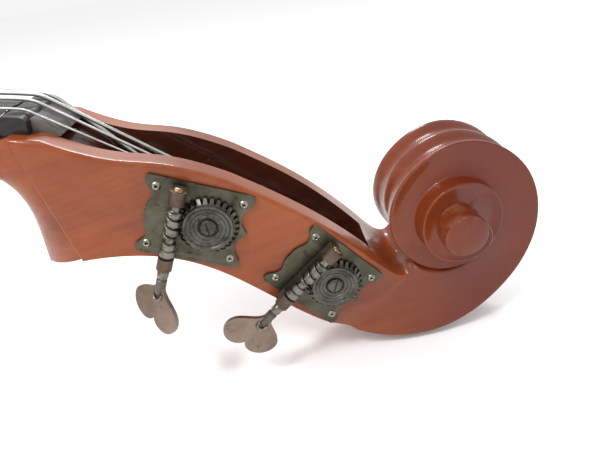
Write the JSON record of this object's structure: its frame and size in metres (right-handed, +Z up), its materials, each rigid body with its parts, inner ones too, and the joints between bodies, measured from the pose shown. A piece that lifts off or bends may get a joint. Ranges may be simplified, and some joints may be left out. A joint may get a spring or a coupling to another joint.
{
  "type": "double bass",
  "caption": "Full-size double bass lying on its back: violin-cornered body, carved scroll, heart-keyed worm tuning machines, adjustable endpin",
  "frame": {"origin": "under the middle of the instrument, on the surface it lies on", "axes": "+X from the endpin to the scroll, +Y to the bass side, +Z up through the strings"},
  "size_m": [1.8541, 0.658, 0.4001],
  "materials": {
    "spruce_top": "orange-brown gloss varnish over straight spruce grain",
    "maple_body": "red-brown gloss varnish over maple",
    "maple_neck": "red-brown gloss varnish over maple, worn at the edges",
    "bridge_maple": "bare planed maple",
    "inside_spruce": "bare spruce",
    "ebony": "polished black ebony",
    "roller_wood": "dark turned wood",
    "aged_brass_plate": "aged, olive-grey tarnish",
    "brown_bearing": "brown tarnish",
    "worn_nickel": "worn bright nickel plating",
    "bright_steel": "polished steel",
    "gunmetal": "dark gunmetal tarnish",
    "dull_bronze": "dull bronze with mottled tarnish",
    "string_steel": "wound string steel",
    "rubber": "matte black rubber"
  },
  "bodies": {
    "root": {"top_plate": "spruce_top", "back_plate": "maple_body", "rib_lower_treble": "maple_body", "rib_lower_bass": "maple_body", "rib_centre_treble": "maple_body", "rib_centre_bass": "maple_body", "rib_upper_treble": "maple_body", "rib_upper_bass": "maple_body", "corner_blocks_treble": "inside_spruce", "corner_blocks_bass": "inside_spruce", "neck_block": "inside_spruce", "end_block": "inside_spruce", "bass_bar": "inside_spruce", "back_braces": "inside_spruce", "sound_post": "inside_spruce", "neck_and_scroll": "maple_neck", "nut": "ebony", "fingerboard": "ebony", "machine_plate_g": "aged_brass_plate", "machine_plate_d": "aged_brass_plate", "machine_plate_e": "aged_brass_plate", "machine_plate_a": "aged_brass_plate", "worm_bracket_g": "brown_bearing", "worm_bracket_d": "brown_bearing", "worm_bracket_e": "brown_bearing", "worm_bracket_a": "brown_bearing", "bridge": "bridge_maple", "string_g": "string_steel", "string_d": "string_steel", "string_a": "string_steel", "string_e": "string_steel", "tailpiece": "ebony", "saddle": "ebony", "tail_wire": "worn_nickel", "endpin_socket": "ebony"},
    "tuner_g_worm": {"worm_shaft_g": "worn_nickel", "key_g": "dull_bronze"},
    "tuner_g_gear": {"gear_g": "gunmetal", "gear_screw_g": "gunmetal", "roller_g": "roller_wood"},
    "tuner_d_worm": {"worm_shaft_d": "worn_nickel", "key_d": "dull_bronze"},
    "tuner_d_gear": {"gear_d": "gunmetal", "gear_screw_d": "gunmetal", "roller_d": "roller_wood"},
    "tuner_e_worm": {"worm_shaft_e": "worn_nickel", "key_e": "dull_bronze"},
    "tuner_e_gear": {"gear_e": "gunmetal", "gear_screw_e": "gunmetal", "roller_e": "roller_wood"},
    "tuner_a_worm": {"worm_shaft_a": "worn_nickel", "key_a": "dull_bronze"},
    "tuner_a_gear": {"gear_a": "gunmetal", "gear_screw_a": "gunmetal", "roller_a": "roller_wood"},
    "endpin": {"endpin_rod": "bright_steel", "endpin_tip": "rubber"},
    "thumbscrew": {"endpin_thumbscrew": "worn_nickel"}
  },
  "joints": [
    {"name": "tuner_g_key", "type": "hinge", "parent": "root", "child": "tuner_g_worm", "pos_m": [0.71922, -0.0411, 0.12394], "axis": [0.4147, 0, 0.91], "continuous": true},
    {"name": "tuner_g_roller", "type": "hinge", "parent": "root", "child": "tuner_g_gear", "pos_m": [0.73606, -0.0326, 0.11748], "axis": [0, -1, 0], "continuous": true},
    {"name": "tuner_d_key", "type": "hinge", "parent": "root", "child": "tuner_d_worm", "pos_m": [0.78615, -0.0411, 0.0784], "axis": [0.7615, 0, 0.6481], "continuous": true},
    {"name": "tuner_d_roller", "type": "hinge", "parent": "root", "child": "tuner_d_gear", "pos_m": [0.79865, -0.0326, 0.0654], "axis": [0, -1, 0], "continuous": true},
    {"name": "tuner_e_key", "type": "hinge", "parent": "root", "child": "tuner_e_worm", "pos_m": [0.68118, 0.0411, 0.13819], "axis": [0.3007, 0, 0.9537], "continuous": true},
    {"name": "tuner_e_roller", "type": "hinge", "parent": "root", "child": "tuner_e_gear", "pos_m": [0.69867, 0.0326, 0.13382], "axis": [0, 1, 0], "continuous": true},
    {"name": "tuner_a_key", "type": "hinge", "parent": "root", "child": "tuner_a_worm", "pos_m": [0.753, 0.0411, 0.10265], "axis": [0.5948, 0, 0.8039], "continuous": true},
    {"name": "tuner_a_roller", "type": "hinge", "parent": "root", "child": "tuner_a_gear", "pos_m": [0.76813, 0.0326, 0.09283], "axis": [0, 1, 0], "continuous": true},
    {"name": "endpin_slide", "type": "slide", "parent": "root", "child": "endpin", "axis": [-1, 0, 0], "range_m": [0, 0.25]},
    {"name": "thumbscrew_turn", "type": "hinge", "parent": "root", "child": "thumbscrew", "pos_m": [-0.8965, 0, 0.105], "axis": [0, -1, 0], "range_deg": [0, 360]}
  ],
  "couplings": [
    {"joint": "tuner_g_roller", "follows": "tuner_g_key", "ratio": 0.035714},
    {"joint": "tuner_d_roller", "follows": "tuner_d_key", "ratio": 0.035714},
    {"joint": "tuner_e_roller", "follows": "tuner_e_key", "ratio": -0.035714},
    {"joint": "tuner_a_roller", "follows": "tuner_a_key", "ratio": -0.035714}
  ]
}
